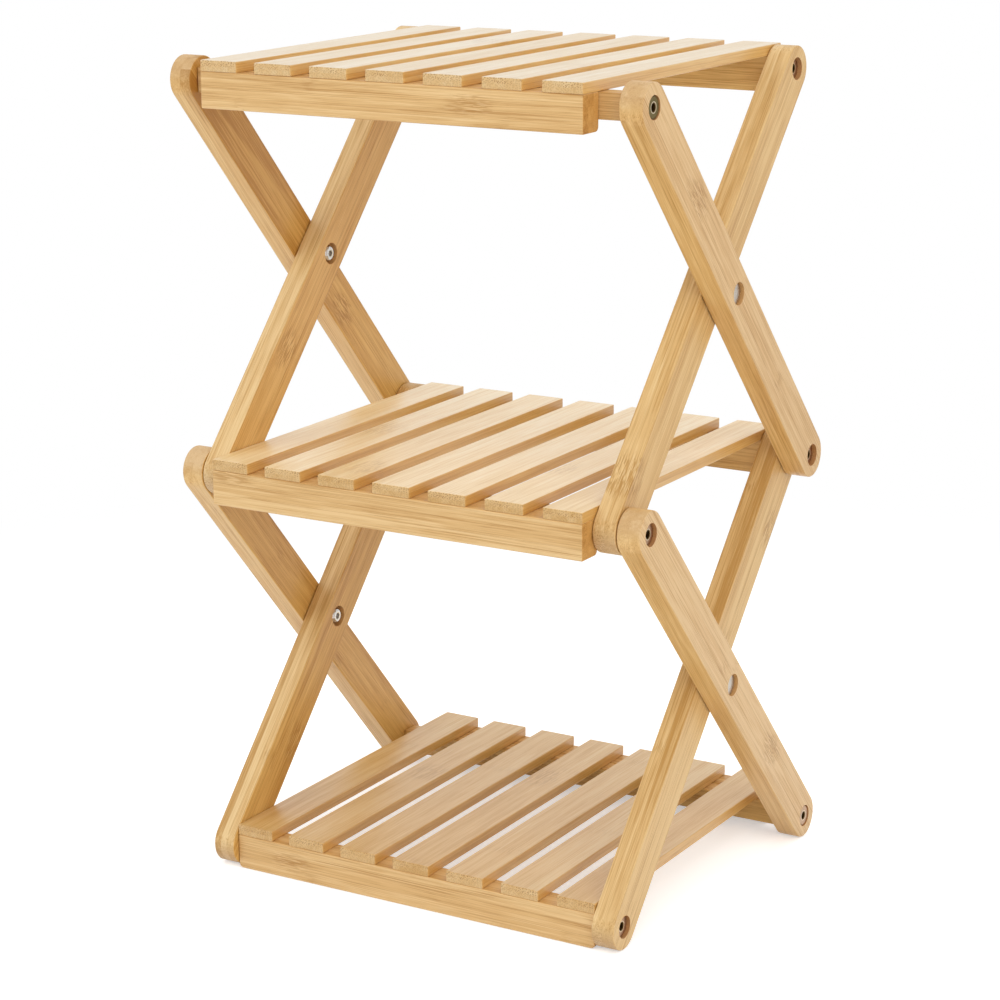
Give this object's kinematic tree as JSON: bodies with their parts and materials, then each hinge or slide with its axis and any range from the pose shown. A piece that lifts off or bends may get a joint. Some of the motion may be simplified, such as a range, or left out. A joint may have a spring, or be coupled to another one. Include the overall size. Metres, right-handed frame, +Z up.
{
  "type": "folding tiered shelf",
  "caption": "Free-standing folding shelf of slatted bamboo tiers on stacked scissor legs; each tier hooks over a cross bar and swings up as the legs close.",
  "frame": {"origin": "on the floor under the middle of the shelf's bounding box", "axes": "+X to the right along the rails, +Y to the back along the slats, +Z up"},
  "size_m": [0.4302, 0.3608, 0.6905],
  "materials": {
    "bamboo_slat": "satin clear lacquer, pale bamboo",
    "bamboo_rail": "satin clear lacquer, honey bamboo",
    "bamboo_leg": "satin clear lacquer, honey bamboo",
    "nickel_bolt": "nickel plate",
    "zinc_insert": "zinc plate",
    "nylon_washer": "natural nylon"
  },
  "bodies": {
    "bottom_cross_bar": {"bottom_cross_bar": "bamboo_rail", "bottom_back_bolts": "nickel_bolt", "bottom_back_insert_nuts": "zinc_insert"},
    "lower_outer_legs": {"lower_outer_leg_left": "bamboo_leg", "lower_outer_leg_right": "bamboo_leg"},
    "lower_inner_legs": {"lower_inner_leg_left": "bamboo_leg", "lower_inner_leg_right": "bamboo_leg", "lower_pivot_bolts": "nickel_bolt", "lower_pivot_sleeves": "nickel_bolt", "lower_pivot_washers": "nylon_washer"},
    "upper_inner_legs": {"upper_inner_leg_left": "bamboo_leg", "upper_inner_leg_right": "bamboo_leg", "upper_pivot_bolts": "nickel_bolt", "upper_pivot_sleeves": "nickel_bolt", "upper_pivot_washers": "nylon_washer"},
    "upper_outer_legs": {"upper_outer_leg_left": "bamboo_leg", "upper_outer_leg_right": "bamboo_leg"},
    "middle_cross_bar": {"middle_cross_bar": "bamboo_rail", "middle_front_bolts": "nickel_bolt", "middle_front_insert_nuts": "zinc_insert", "middle_front_washers": "nylon_washer"},
    "top_cross_bar": {"top_cross_bar": "bamboo_rail", "top_front_bolts": "nickel_bolt", "top_front_insert_nuts": "zinc_insert"},
    "top_shelf": {"top_slat_1": "bamboo_slat", "top_slat_2": "bamboo_slat", "top_slat_3": "bamboo_slat", "top_slat_4": "bamboo_slat", "top_slat_5": "bamboo_slat", "top_slat_6": "bamboo_slat", "top_slat_7": "bamboo_slat", "top_front_rail": "bamboo_rail", "top_back_rail": "bamboo_rail", "top_back_bolts": "nickel_bolt", "top_back_insert_nuts": "zinc_insert"},
    "middle_shelf": {"middle_slat_1": "bamboo_slat", "middle_slat_2": "bamboo_slat", "middle_slat_3": "bamboo_slat", "middle_slat_4": "bamboo_slat", "middle_slat_5": "bamboo_slat", "middle_slat_6": "bamboo_slat", "middle_slat_7": "bamboo_slat", "middle_front_rail": "bamboo_rail", "middle_back_rail": "bamboo_rail", "middle_back_bolts": "nickel_bolt", "middle_back_insert_nuts": "zinc_insert", "middle_back_washers": "nylon_washer"},
    "bottom_shelf": {"bottom_slat_1": "bamboo_slat", "bottom_slat_2": "bamboo_slat", "bottom_slat_3": "bamboo_slat", "bottom_slat_4": "bamboo_slat", "bottom_slat_5": "bamboo_slat", "bottom_slat_6": "bamboo_slat", "bottom_slat_7": "bamboo_slat", "bottom_front_rail": "bamboo_rail", "bottom_back_rail": "bamboo_rail", "bottom_front_bolts": "nickel_bolt", "bottom_front_insert_nuts": "zinc_insert"}
  },
  "joints": [
    {"name": "fold", "type": "hinge", "parent": "lower_outer_legs", "child": "lower_inner_legs", "pos_m": [0, 0, 0.182], "axis": [1, 0, 0], "range_deg": [0, 73.6]},
    {"name": "lower_outer_turn", "type": "hinge", "parent": "bottom_cross_bar", "child": "lower_outer_legs", "pos_m": [0, 0.147, 0.019], "axis": [-1, 0, 0], "range_deg": [0, 36.8]},
    {"name": "middle_front_turn", "type": "hinge", "parent": "lower_outer_legs", "child": "upper_inner_legs", "pos_m": [0, -0.147, 0.345], "axis": [1, 0, 0], "range_deg": [0, 73.6]},
    {"name": "upper_fold", "type": "hinge", "parent": "upper_inner_legs", "child": "upper_outer_legs", "pos_m": [0, 0, 0.508], "axis": [-1, 0, 0], "range_deg": [0, 73.6]},
    {"name": "top_bar_turn", "type": "hinge", "parent": "upper_outer_legs", "child": "top_cross_bar", "pos_m": [0, -0.147, 0.671], "axis": [1, 0, 0], "range_deg": [0, 36.8]},
    {"name": "middle_bar_turn", "type": "hinge", "parent": "upper_inner_legs", "child": "middle_cross_bar", "pos_m": [0, -0.147, 0.345], "axis": [-1, 0, 0], "range_deg": [0, 36.8]},
    {"name": "top_shelf_swing", "type": "hinge", "parent": "upper_inner_legs", "child": "top_shelf", "pos_m": [0, 0.147, 0.671], "axis": [-1, 0, 0], "range_deg": [0, 121.6]},
    {"name": "middle_shelf_swing", "type": "hinge", "parent": "lower_inner_legs", "child": "middle_shelf", "pos_m": [0, 0.147, 0.345], "axis": [-1, 0, 0], "range_deg": [0, 121.6]},
    {"name": "bottom_shelf_swing", "type": "hinge", "parent": "lower_inner_legs", "child": "bottom_shelf", "pos_m": [0, -0.147, 0.019], "axis": [1, 0, 0], "range_deg": [0, 48]}
  ],
  "couplings": [
    {"joint": "lower_outer_turn", "follows": "fold", "ratio": 0.5},
    {"joint": "middle_front_turn", "follows": "fold", "ratio": 1},
    {"joint": "upper_fold", "follows": "fold", "ratio": 1},
    {"joint": "top_bar_turn", "follows": "fold", "ratio": 0.5},
    {"joint": "middle_bar_turn", "follows": "fold", "ratio": 0.5},
    {"joint": "top_shelf_swing", "follows": "fold", "ratio": 1.6522},
    {"joint": "middle_shelf_swing", "follows": "fold", "ratio": 1.6522},
    {"joint": "bottom_shelf_swing", "follows": "fold", "ratio": 0.65217}
  ]
}
